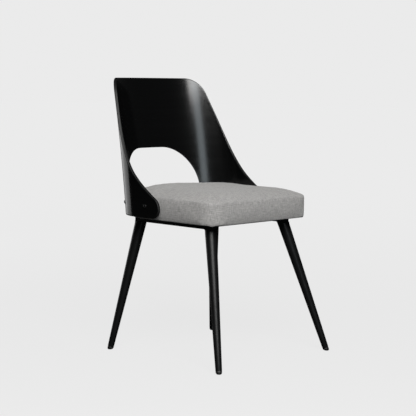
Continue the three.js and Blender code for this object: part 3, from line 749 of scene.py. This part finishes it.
# %% Start shape of the pad
PAD_FOOT = seat_low.z
PAD_START = 3 * MM  # how much smaller the start shape is
FOOT_ROUND, EDGE_ROUND = 8 * MM, 9 * MM
CROWN_START = seat_high.z - SEAT_CREASE - 10 * MM  # the swelling adds the rest
REAR_RISE = 12 * MM
CROWN_SHARES = (0.985, 0.96, 0.92, 0.85, 0.75, 0.62, 0.45, 0.25, 0.1)  # of the rim, inwards
CROWN_FULLNESS = 8  # the higher, the flatter the top and the fuller its edge


def pad_levels():
    """Pairs of (inset, height) up the side of the pad, from under its foot to its crease."""
    turns = np.linspace(0, math.pi / 2, 5)
    foot = [(FOOT_ROUND * (1 - math.sin(t)) - PAD_START * 0.9 * math.cos(t),
             PAD_FOOT + FOOT_ROUND * (1 - math.cos(t))) for t in turns]
    edge = [(EDGE_ROUND * (1 - math.cos(t)), SEAT_CREASE - EDGE_ROUND * (1 - math.sin(t)) * 0.9)
            for t in turns]
    return foot + edge


def rim_rise(y):
    """How much higher the crease lies towards the back, where the foam is cut thicker."""
    rear = (y - plan_middle[1]) / (plan[:, 1].max() - plan_middle[1])
    return REAR_RISE * min(max(rear, 0.0), 1.0)


def pad_form():
    form = bmesh.new()
    rings = []
    for inset, z in pad_levels():
        share = (z - PAD_FOOT) / (SEAT_CREASE - PAD_FOOT)
        outline = seat_outline(PAD_START + inset)
        rings.append([form.verts.new((x, y, z + share**2 * rim_rise(y))) for x, y in outline])
    rim = seat_outline(PAD_START + EDGE_ROUND)
    for share in CROWN_SHARES:
        fall = share**CROWN_FULLNESS
        level = SEAT_CREASE + CROWN_START * (1 - fall)
        scaled = plan_middle + (rim - plan_middle) * share
        rings.append([form.verts.new((x, y, level + rim_rise(y) * fall)) for x, y in scaled])
    for low, high in zip(rings, rings[1:]):
        for i in range(len(low)):
            j = (i + 1) % len(low)
            form.faces.new((low[i], low[j], high[j], high[i]))
    form.faces.new(rings[0][::-1])
    form.faces.new(rings[-1])
    bmesh.ops.recalc_face_normals(form, faces=form.faces[:])
    return form


# %% Swell it
VOXEL = 5 * MM
PRESSURE = 4.0
SIM_FRAMES = 20


def remeshed(piece, voxel):
    modifier = piece.modifiers.new("Even mesh", "REMESH")
    modifier.mode = "VOXEL"
    modifier.voxel_size = voxel
    return baked(piece)


def held_points(piece):
    """Holds the stapled underside fully, and the edge of the foam in part."""
    group = piece.vertex_groups.new(name="held")
    for vert in piece.data.vertices:
        z = vert.co.z
        under = 1.0 if z < PAD_FOOT + 1.5 * MM else 0.0
        foam_edge = 0.35 * math.exp(-(((z - SEAT_CREASE + 3 * MM) / (5 * MM)) ** 2))
        group.add([vert.index], max(under, foam_edge), "REPLACE")
    return group.name


def swollen(piece):
    """The points of the piece after the cloth has been blown out against its own stiffness."""
    modifier = piece.modifiers.new("Swell", "CLOTH")
    cloth = modifier.settings
    cloth.vertex_group_mass = held_points(piece)
    cloth.use_pressure = True
    cloth.uniform_pressure_force = PRESSURE
    cloth.effector_weights.gravity = 0
    cloth.quality = 5
    modifier.point_cache.frame_start, modifier.point_cache.frame_end = 1, SIM_FRAMES
    for number in range(1, SIM_FRAMES + 1):
        bpy.context.scene.frame_set(number)
    depsgraph = bpy.context.evaluated_depsgraph_get()
    result = piece.evaluated_get(depsgraph)
    points = np.array([vert.co for vert in result.data.vertices])
    piece.modifiers.clear()
    bpy.context.scene.frame_set(1)
    return points


def read_points(piece):
    return np.array([vert.co for vert in piece.data.vertices])


def write_points(piece, points):
    piece.data.vertices.foreach_set("co", np.asarray(points, np.float32).ravel())
    piece.data.update()


pad = remeshed(from_bmesh("seat_pad", pad_form()), VOXEL)
pad_start = read_points(pad)
pad_end = swollen(pad)
print("pad has", len(pad_start), "points")

# %% [markdown]
# Pressure alone would blow the sides against the shell, so each point's travel is capped: less on
# the sides, where the shell is near, and more on top. What simulation cannot give comes after it:
# the pull of the staples, which draws small puckers into the lower edge, and the folded tuck under
# each front corner.

# %% Cap the swelling and pull the cloth under
SIDE_CAP, TOP_CAP = 3.6 * MM, 5 * MM
PUCKER_DEPTH, PUCKER_PITCH, PUCKER_HEIGHT = 0.9 * MM, 34 * MM, 15 * MM
TUCK_DROP, TUCK_WIDTH, TUCK_INSET, TUCK_HEIGHT = 2.4 * MM, 9 * MM, 22 * MM, 8 * MM
WAVE_HEIGHT, WAVE_RATE = 1.2 * MM, 11  # of the soft unevenness on top


def capped(start, end):
    travel = end - start
    length = np.linalg.norm(travel, axis=1)
    above = np.clip((start[:, 2] - SEAT_CREASE) / (12 * MM), 0, 1)
    limit = SIDE_CAP + (TOP_CAP - SIDE_CAP) * above
    return start + travel * (limit / np.maximum(length, limit))[:, None]


def round_the_plan(points):
    """How far round the seat's plan each point lies, and how long the plan is, in metres."""
    loop = np.concatenate([plan, plan[:1]])
    lengths = np.concatenate([[0], np.cumsum(np.linalg.norm(np.diff(loop, axis=0), axis=1))])
    bearing = np.unwrap(np.arctan2(*(loop - plan_middle).T[::-1]))
    if bearing[-1] < bearing[0]:
        raise RuntimeError("the plan runs the wrong way round")
    own = np.arctan2(points[:, 1] - plan_middle[1], points[:, 0] - plan_middle[0])
    own = bearing[0] + np.mod(own - bearing[0], 2 * math.pi)
    return np.interp(own, bearing, lengths), lengths[-1]


def worked_edge(points):
    """Puckers along the lower edge and a soft unevenness on top, as pulled cloth has."""
    run, _ = round_the_plan(points)
    outward = points[:, :2] - plan_middle
    outward /= np.maximum(np.linalg.norm(outward, axis=1), 1e-6)[:, None]
    low = np.exp(-np.clip(points[:, 2] - PAD_FOOT, 0, None) / PUCKER_HEIGHT)
    near_rim = np.clip(1 - (seat_rim_distance(points) / (12 * MM)), 0, 1)
    wave = np.array([
        noise.noise((r / PUCKER_PITCH, 3.1, 0)) + 0.5 * noise.noise((r / PUCKER_PITCH * 2.7, 0, 7))
        for r in run])
    points[:, :2] += outward * (wave * low * near_rim * PUCKER_DEPTH)[:, None]
    top = np.clip((points[:, 2] - SEAT_CREASE) / (10 * MM), 0, 1)
    swell = np.array([noise.noise((x * WAVE_RATE, y * WAVE_RATE, 2.0)) for x, y, _ in points])
    points[:, 2] += swell * top * WAVE_HEIGHT
    return points


def seat_rim_distance(points):
    """How far inside the plan's outline each point lies."""
    tree = KDTree(len(plan))
    for index, (x, y) in enumerate(plan):
        tree.insert((x, y, 0), index)
    tree.balance()
    return np.array([tree.find((x, y, 0))[2] for x, y, _ in points])


def tucked(points):
    """Drops a small fold of cloth under each front corner."""
    for side in (-1, 1):
        corner = np.array([side * (plan[:, 0].max() - TUCK_INSET), plan[:, 1].min() + TUCK_INSET])
        near = np.exp(-(np.linalg.norm(points[:, :2] - corner, axis=1) / TUCK_WIDTH) ** 2)
        foot = np.clip(1 - (points[:, 2] - PAD_FOOT) / TUCK_HEIGHT, 0, 1)
        points[:, 2] -= near * foot * TUCK_DROP
    return points


write_points(pad, tucked(worked_edge(capped(pad_start, pad_end))))
rounder = pad.modifiers.new("Rounder", "SUBSURF")
rounder.levels = rounder.render_levels = 1
baked(pad)
print("pad now", np.round(np.ptp(read_points(pad), axis=0) / MM, 1), "mm")


# %% Lay the cloth's pattern on the pad
def lay_cloth(piece):
    """A UV map in metres: flat on the top and foot, and round the plan on the sides."""
    mesh = piece.data
    points = read_points(piece)
    run, total = round_the_plan(points)
    uv = mesh.uv_layers.new(name="Cloth")
    for face in mesh.polygons:
        flat = abs(face.normal.z) > 0.62
        runs = [run[i] for i in face.vertices]
        crosses = max(runs) - min(runs) > total / 2
        for loop, index in zip(face.loop_indices, face.vertices):
            x, y, z = points[index]
            along = run[index] + (total if crosses and run[index] < total / 2 else 0)
            uv.data[loop].uv = (x, y) if flat else (along, z)
    return piece


settle(lay_cloth(pad), "fabric", ["seat_cover", "seat_foam"], crease=75)
print("pad covered,", len(pad.data.polygons), "faces")

# %% [markdown]
# ## Under the seat
# A thin black cloth closes the underside, and staples hold it. The staples repeat round a path,
# so Geometry Nodes place them: the path is resampled to an even pitch and one staple is put on
# each point, turned along the path.

# %% Dust cloth
DUST_INSET, STAPLE_INSET = 20 * MM, 26 * MM  # from the edge of the seat's plan
DUST_SAG, DUST_THICKNESS = 0.25 * MM, 0.3 * MM
DUST_GRID, DUST_CUTS = 10 * MM, 30
dust_low, dust_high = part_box("dust_cover")


def dust_sheet():
    rim = [Vector((x, y, 0)) for x, y in seat_outline(DUST_INSET)]
    form = bmesh.new()
    form.faces.new([form.verts.new((p.x, p.y, dust_high.z)) for p in rim])
    for axis in (0, 1):
        cut_along(form, axis, DUST_GRID, DUST_CUTS)
    uv = form.loops.layers.uv.new("Cloth")
    for face in form.faces:
        for loop in face.loops:
            loop[uv].uv = loop.vert.co.xy
    for vert in form.verts:
        vert.co.z -= DUST_SAG * (1 + noise.noise(vert.co * 40))
    return form


dust = from_bmesh("dust_sheet", dust_sheet())
wall = dust.modifiers.new("Thickness", "SOLIDIFY")
wall.thickness = DUST_THICKNESS
wall.offset = 0
settle(facing_out(baked(dust)), "black_cloth", ["dust_cover"])

# %% Staples round the dust cloth
STAPLES = {"Pitch": 28 * MM, "Length": 10 * MM, "Wire": 0.7 * MM, "Lift": 0.35 * MM}


def along_path(tree, path_mesh, pitch, thing):
    """Copies of a thing along a path, at an even pitch, each turned the way the path runs."""
    path = tree.node("GeometryNodeMeshToCurve", {0: path_mesh})
    steps = {"Curve": path, "Length": pitch}
    even = tree.node("GeometryNodeResampleCurve", steps, mode="LENGTH")
    tangent = tree.node("GeometryNodeInputTangent")
    turn = tree.node("FunctionNodeAlignRotationToVector", {"Vector": tangent}, axis="X")
    placing = {"Points": even, "Instance": thing, "Rotation": turn}
    return tree.node("GeometryNodeInstanceOnPoints", placing)


def staple_tree():
    tree, size, identifiers = open_group("staples", STAPLES)
    measures = tree.vector(size["Length"], size["Wire"], size["Wire"])
    wire = tree.node("GeometryNodeMeshCube", {"Size": measures})
    placed = along_path(tree, size["Geometry"], size["Pitch"], wire)
    fall = tree.vector(z=0 - size["Lift"])
    dropped = tree.node("GeometryNodeSetPosition", {0: placed, "Offset": fall})
    close_group(tree, dropped, FINISH["zinc"])
    return tree, identifiers


def closed_path(name, points):
    mesh = bpy.data.meshes.new(name)
    count = len(points)
    mesh.from_pydata([tuple(p) for p in points], [(i, (i + 1) % count) for i in range(count)], [])
    return new_object(name, mesh)


staple_path = [(x, y, dust_low.z) for x, y in seat_outline(STAPLE_INSET)]
staples = run_group(closed_path("staples", staple_path), *staple_tree(), STAPLES)
settle(staples, "zinc", crease=30)
print(len(staples.data.polygons) // 6, "staples")


# %% [markdown]
# ## Legs, welds and glides
# Each leg is a steel tube rolled to a taper, cut level at the top and welded under a rail. The
# plain model's tube shows where its axis lies: the middles of its two ends. Rings of points along
# that axis make the smooth leg, and the last ring slides along the axis onto the level cut. The
# weld is a row of small overlapping beads round the cut, which suits Geometry Nodes again.

# %% Rings on a slanted axis
LEG_SIDES = 56
LEG_TOP_RADIUS, LEG_FOOT_RADIUS, LEG_WALL = 17.2 * MM, 9.1 * MM, 1.6 * MM
LEG_RIM = 0.8 * MM


def node_points(name):
    return np.array([vert.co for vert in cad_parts[name].data.vertices])


def leg_axis(corner):
    """Where a leg's axis meets its rail, and the unit way up it."""
    points = node_points("leg_" + corner)
    middle = points[:, 2].mean()
    foot = np.unique(points[points[:, 2] < middle].round(6), axis=0).mean(0)
    top = np.unique(points[points[:, 2] > middle].round(6), axis=0).mean(0)
    way = (top - foot) / np.linalg.norm(top - foot)
    return foot - way * (foot[2] / way[2]), top, way


def ring_at(centre, way, radius, level=None):
    """A ring round an axis. With a level, its points slide along the axis onto that height."""
    side = np.cross(way, [0, 0, 1.0])
    side /= np.linalg.norm(side)
    front = np.cross(side, way)
    turns = np.linspace(0, 2 * math.pi, LEG_SIDES, endpoint=False)[:, None]
    ring = centre + radius * (np.cos(turns) * side + np.sin(turns) * front)
    if level is not None:
        ring = ring + way * ((level - ring[:, 2:]) / way[2])
    return ring


def skin(form, rings, closed=True):
    """Joins rings into a skin. Closed, it also joins the last ring to the first."""
    loops = [[form.verts.new(point) for point in ring] for ring in rings]
    pairs = list(zip(loops, loops[1:] + loops[:1])) if closed else list(zip(loops, loops[1:]))
    for low, high in pairs:
        for i in range(len(low)):
            j = (i + 1) % len(low)
            form.faces.new((low[i], low[j], high[j], high[i]))
    if not closed:
        form.faces.new(loops[0][::-1])
        form.faces.new(loops[-1])
    bmesh.ops.recalc_face_normals(form, faces=form.faces[:])
    return form


# %% Legs
def leg_form(corner):
    foot, top, way = leg_axis(corner)
    start = (node_points("leg_" + corner) - foot) @ way
    length = (top[2] - foot[2]) / way[2]
    low = start.min()
    growth = (LEG_TOP_RADIUS - LEG_FOOT_RADIUS) / length

    def radius(distance):
        return LEG_FOOT_RADIUS + growth * distance

    rounding = [(0, 0), (0.1 * LEG_RIM, 0.45 * LEG_RIM), (0.45 * LEG_RIM, 0.9 * LEG_RIM)]
    outside = [ring_at(foot + way * (low + rise), way, radius(low) - LEG_RIM + spread)
               for rise, spread in rounding]
    outside += [ring_at(foot + way * d, way, radius(d))
                for d in np.linspace(low + LEG_RIM, length * 0.96, 9)]
    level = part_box("leg_" + corner)[1].z
    outside.append(ring_at(foot + way * length, way, radius(length), level))
    inside = [ring_at(foot + way * length, way, radius(length) - LEG_WALL, level),
              ring_at(foot + way * low, way, radius(low) - LEG_WALL)]
    return skin(bmesh.new(), outside + inside)


for corner in CORNERS:
    name = "leg_" + corner
    settle(from_bmesh(name + "_tube", leg_form(corner)), "black_steel", [name], crease=60)
print("4 legs")

# %% Glides
GLIDE_HEIGHT, GLIDE_STEM = 9 * MM, 14 * MM


def glide_form(corner):
    """A foot with a soft rim, level on the floor, and the stem that plugs the leg."""
    foot, _, way = leg_axis(corner)
    rim = 0.7 * MM
    rings = [ring_at(foot, way, LEG_FOOT_RADIUS * share, height * MM)
             for share, height in [(0.36, 0), (0.6, 0.45), (0.8, 1.6), (0.94, 3.6)]]
    body = [(1.0, 6.2 * MM), (1.0, GLIDE_HEIGHT - rim), (0.975, GLIDE_HEIGHT - 0.25 * rim),
            (0.92, GLIDE_HEIGHT)]
    rings += [ring_at(foot + way * d, way, LEG_FOOT_RADIUS * share) for share, d in body]
    stem = LEG_FOOT_RADIUS - LEG_WALL - TOUCH
    tip = GLIDE_HEIGHT + GLIDE_STEM
    rings += [ring_at(foot + way * d, way, r)
              for r, d in [(stem, GLIDE_HEIGHT), (stem, tip - 1.5 * MM), (stem - 1.5 * MM, tip)]]
    return skin(bmesh.new(), rings, closed=False)


for corner in CORNERS:
    name = "glide_" + corner
    settle(from_bmesh(name + "_foot", glide_form(corner)), "black_plastic", [name], crease=40)
print("4 glides")

# %% Welds
WELD = {"Bead": 1.5 * MM, "Pitch": 1.7 * MM}


def weld_tree():
    tree, size, identifiers = open_group("weld_beads", WELD)
    bead = tree.node("GeometryNodeMeshIcoSphere", {"Radius": size["Bead"], "Subdivisions": 1})
    placed = along_path(tree, size["Geometry"], size["Pitch"], bead)
    close_group(tree, placed, FINISH["black_steel"])
    return tree, identifiers


def weld_path(corner):
    foot, top, way = leg_axis(corner)
    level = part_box("leg_" + corner)[1].z
    ring = ring_at(top, way, LEG_TOP_RADIUS - 0.2 * MM, level - 0.5 * MM)
    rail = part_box("side_rail_" + corner.split("_")[1])
    edge = 1.0 * MM
    ring[:, 0] = np.clip(ring[:, 0], rail[0].x + edge, rail[1].x - edge)
    return ring


weld_group = weld_tree()
for corner in CORNERS:
    beads = run_group(closed_path("weld_" + corner, weld_path(corner)), *weld_group, WELD)
    settle(beads, "black_steel", crease=80)
print("4 welds of", len(beads.data.polygons) // 20, "beads")


# %% [markdown]
# ## Bolts through the shell
# Button-head bolts with a hex socket hold the shell to the blocks in the seat. The head is small
# and round, so it is turned: rings of a profile round the bolt's axis, with the socket's rings six
# sided. The plain bolt's own points give its axis.

# %% Shell bolts
BOLT_HEAD, BOLT_HEIGHT, BOLT_SHANK, SOCKET = 6 * MM, 3.2 * MM, 3 * MM, 2.3 * MM
BOLT_SIDES = 36


def bolt_axis(name):
    """The tip of a plain bolt's head, and the way out along its axis."""
    points = np.unique(node_points(name).round(6), axis=0)
    middle = points.mean(0)
    way = np.linalg.svd(points - middle)[2][0]
    across = points - middle
    along = across @ way
    width = np.linalg.norm(across - along[:, None] * way, axis=1)
    if along[np.argmax(width)] < 0:
        way, along = -way, -along
    return middle + way * along.max(), way, along.max() - along.min()


def turned_ring(centre, way, radius, six_sided=False):
    side = np.cross(way, [0, 0, 1.0])
    side /= np.linalg.norm(side)
    up = np.cross(way, side)
    turns = np.linspace(0, 2 * math.pi, BOLT_SIDES, endpoint=False)
    sector = np.mod(turns, math.pi / 3) - math.pi / 6
    reach = radius * (math.cos(math.pi / 6) / np.cos(sector) if six_sided else np.ones(BOLT_SIDES))
    return centre + (np.cos(turns) * reach)[:, None] * side + (np.sin(turns) * reach)[:, None] * up


def bolt_form(name):
    tip, way, length = bolt_axis(name)
    seat = -BOLT_HEIGHT + TOUCH
    dome = [(BOLT_HEAD * math.cos(t), seat + (BOLT_HEIGHT - TOUCH) * math.sin(t))
            for t in np.radians([4, 14, 26, 38, 50, 62])]
    shank = [(BOLT_SHANK - 0.6 * MM, -length), (BOLT_SHANK, 0.6 * MM - length), (BOLT_SHANK, seat),
             (BOLT_HEAD - 0.2 * MM, seat)]
    outside = [turned_ring(tip + way * d, way, r) for r, d in shank + dome]
    outside += [turned_ring(tip, way, SOCKET * 1.25)]
    inside = [turned_ring(tip - way * d, way, SOCKET, True) for d in (0.15 * MM, BOLT_HEIGHT * 0.6)]
    return skin(bmesh.new(), outside + inside, closed=False)


for corner in CORNERS:
    name = "shell_bolt_" + corner
    settle(from_bmesh(name + "_head", bolt_form(name)), "black_steel", [name], crease=35)
print("4 shell bolts")


# %% [markdown]
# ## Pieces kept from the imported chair
# Rails, caps, board, blocks and the small hardware have the right shape already, so they stay,
# and each takes the finish that its slot names.

# %% Finish the kept pieces
KEPT = {
    "black_steel": ["side_rail_", "cross_rail_"], "black_plastic": ["rail_cap_"],
    "raw_ply": ["seat_board", "mounting_block_"],
    "zinc": ["threaded_insert_", "block_screw_", "seat_bolt_", "tee_nut_"],
}


def dress(node, finish):
    node.data.materials.clear()
    node.data.materials.append(finish)
    for face in node.data.polygons:
        face.material_index = 0


kept = 0
for slot, starts in KEPT.items():
    for name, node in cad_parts.items():
        if name.startswith(tuple(starts)):
            dress(node, FINISH[slot])
            kept += 1
print(kept, "kept pieces dressed")


# %% [markdown]
# ## Studio
# A pale floor that runs on into a pale surround, a narrow tall softbox in front, a broad key panel
# high above the front corner and a bright wall behind. The tall softbox draws the soft band on the
# inside of the shell and the line down each leg, the wall behind catches the shell's rear edge,
# and the key panel makes the seat's top lighter than its sides.

# %% Floor and surround
PAPER = 0.83  # how bright the paper behind the chair looks
AMBIENT = 0.025  # how bright the surround is as a light
PAPER_SHADE = 0.035  # albedo that lets the floor take a faint shadow
PAPER_LIT = 0.05  # how much that adds below the lights
FLOOR_REACH = 30.0
LIT_REACH = 3.4  # how far from the chair the lights fade on the floor
AIM = Vector((0, 0, 0.55))


def floor_finish():
    material = bpy.data.materials.new("studio_floor")
    material.use_nodes = True
    tree = Tree(material.node_tree)
    paint = material.node_tree.nodes["Principled BSDF"]
    paint.inputs["Base Color"].default_value = grey(PAPER_SHADE)
    paint.inputs["Roughness"].default_value = 0.9
    paint.inputs["Specular IOR Level"].default_value = 0.0
    paint.inputs["Emission Color"].default_value = (1, 1, 1, 1)
    seen = tree.node("ShaderNodeLightPath", output="Is Camera Ray")
    x, y, _ = tree.parts(tree.node("ShaderNodeTexCoord", output="Object"))
    spread = 1 + (x * x + y * y) / LIT_REACH**2
    tree.feed(paint.inputs["Emission Strength"], seen * (PAPER - PAPER_LIT / (spread * spread)))
    return material


def floor_form():
    form = bmesh.new()
    turns = np.linspace(0, 2 * math.pi, 64, endpoint=False)
    rim = [(FLOOR_REACH * math.cos(t), FLOOR_REACH * math.sin(t), 0) for t in turns]
    form.faces.new([form.verts.new(point) for point in rim])
    return form


floor = from_bmesh("floor", floor_form())
floor.data.materials.append(floor_finish())


def surround(ambient):
    world = bpy.data.worlds.new("surround")
    world.use_nodes = True
    bpy.context.scene.world = world
    tree = Tree(world.node_tree)
    seen = tree.node("ShaderNodeLightPath", output="Is Camera Ray")
    background = world.node_tree.nodes["Background"]
    background.inputs["Color"].default_value = (1, 1, 1, 1)
    tree.feed(background.inputs["Strength"], seen * (PAPER - ambient) + ambient)


surround(AMBIENT)


# %% Lights
def softbox(name, bearing, height, distance, size, power, colour=(1, 1, 1)):
    """A soft panel at a bearing in degrees from +X, aimed at the seat."""
    light = bpy.data.lights.new(name, "AREA")
    light.shape = "RECTANGLE"
    light.size, light.size_y = size
    light.energy = power
    light.color = colour
    turn = math.radians(bearing)
    place = Vector((distance * math.cos(turn), distance * math.sin(turn), height))
    panel = bpy.data.objects.new(name, light)
    bpy.context.scene.collection.objects.link(panel)
    aim = AIM - place
    panel.matrix_world = Matrix.Translation(place) @ aim.to_track_quat("-Z", "Y").to_matrix().to_4x4()
    panel.visible_camera = False
    return panel


softbox("tall_softbox", -119, 1.25, 3.2, (0.5, 2.2), 15, (0.84, 0.94, 1.0))
softbox("key_panel", -130.6, 2.5, 2.74, (2.4, 1.6), 170, (1.0, 0.99, 0.975))
softbox("wall_behind", 92, 0.9, 2.8, (2.4, 2.0), 18)
bpy.context.scene.view_settings.view_transform = "Standard"  # white paper stays white

# %% [markdown]
# ## Camera
# A long lens from just above seat height, turned to the chair's right front, so that the inside
# of the shell, the seat's front corner and all four legs show.

# %% Camera
CAMERA_PLACE = Vector((-3.0097, -2.7862, 0.8392))
CAMERA_BEARING, CAMERA_DIP, CAMERA_ROLL = -47.27, 5.74, 0.94  # degrees
CAMERA_LENS, CAMERA_SENSOR = 118.42, 36.0  # millimetres


def camera_turn():
    bearing, dip, roll = (math.radians(a) for a in (CAMERA_BEARING, CAMERA_DIP, CAMERA_ROLL))
    reach = math.cos(dip)
    look = Vector((-math.sin(bearing) * reach, math.cos(bearing) * reach, -math.sin(dip)))
    right = Vector((math.cos(bearing), math.sin(bearing), 0))
    up = right.cross(look)
    rolled_right = right * math.cos(roll) + up * math.sin(roll)
    rolled_up = -right * math.sin(roll) + up * math.cos(roll)
    return Matrix((rolled_right, rolled_up, -look)).transposed().to_4x4()


camera_data = bpy.data.cameras.new("camera")
camera_data.lens, camera_data.sensor_width = CAMERA_LENS, CAMERA_SENSOR
camera = bpy.data.objects.new("camera", camera_data)
bpy.context.scene.collection.objects.link(camera)
camera.matrix_world = Matrix.Translation(CAMERA_PLACE) @ camera_turn()
bpy.context.scene.camera = camera
